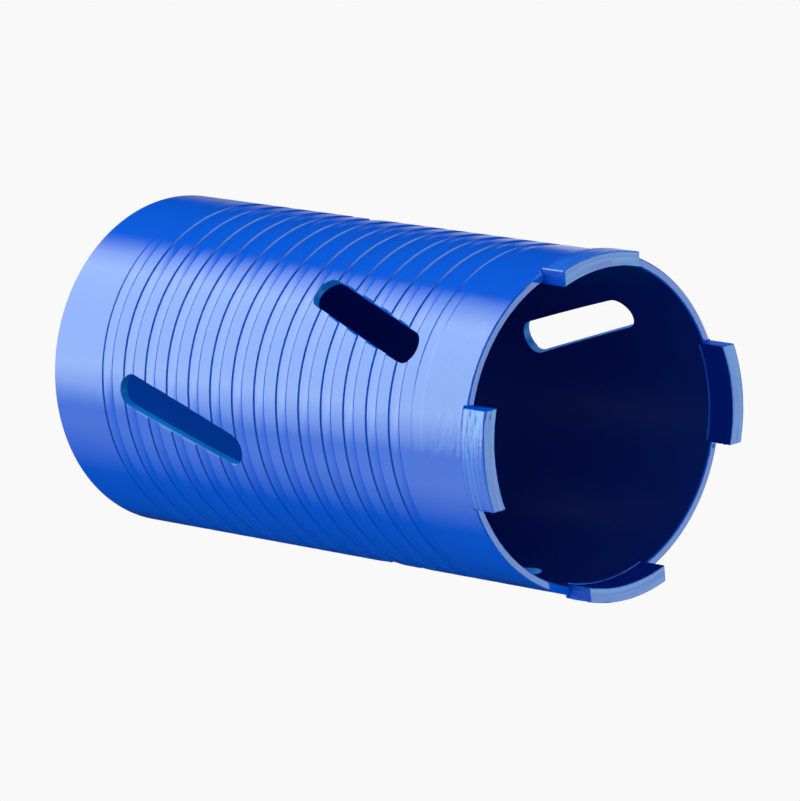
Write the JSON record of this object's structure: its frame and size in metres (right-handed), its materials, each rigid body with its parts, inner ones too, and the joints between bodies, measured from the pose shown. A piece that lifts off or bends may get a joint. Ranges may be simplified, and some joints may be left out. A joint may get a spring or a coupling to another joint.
{
  "type": "diamond core bit",
  "caption": "Dry diamond core bit: steel barrel with a helical dust groove and slanted slots, diamond segments on its rim, and a threaded hub welded to its back plate.",
  "frame": {"origin": "on the axis of rotation, in the plane of the threaded hub's rear end face, on which the bit stands", "axes": "+Z along the axis of rotation from the hub to the diamond segments; the first segment is centred 4.5 degrees from +X towards +Y, and the hub's wrench flats face +X and -X"},
  "size_m": [0.082, 0.082, 0.1682],
  "materials": {
    "barrel_paint": "satin blue coat of paint on turned steel tube",
    "plate_paint": "satin blue paint on turned steel",
    "hub_paint": "satin blue paint, thread left bare",
    "weld_paint": "blue paint over a rippled weld seam",
    "segment_paint": "thin blue paint over a rough sintered and ground segment",
    "braze_paint": "blue paint over smooth braze"
  },
  "bodies": {
    "root": {"barrel": "barrel_paint", "back_plate": "plate_paint", "plate_weld": "weld_paint", "threaded_hub": "hub_paint", "hub_weld": "weld_paint", "segment_1": "segment_paint", "segment_2": "segment_paint", "segment_3": "segment_paint", "segment_4": "segment_paint", "braze_1": "braze_paint", "braze_2": "braze_paint", "braze_3": "braze_paint", "braze_4": "braze_paint"}
  },
  "joints": []
}
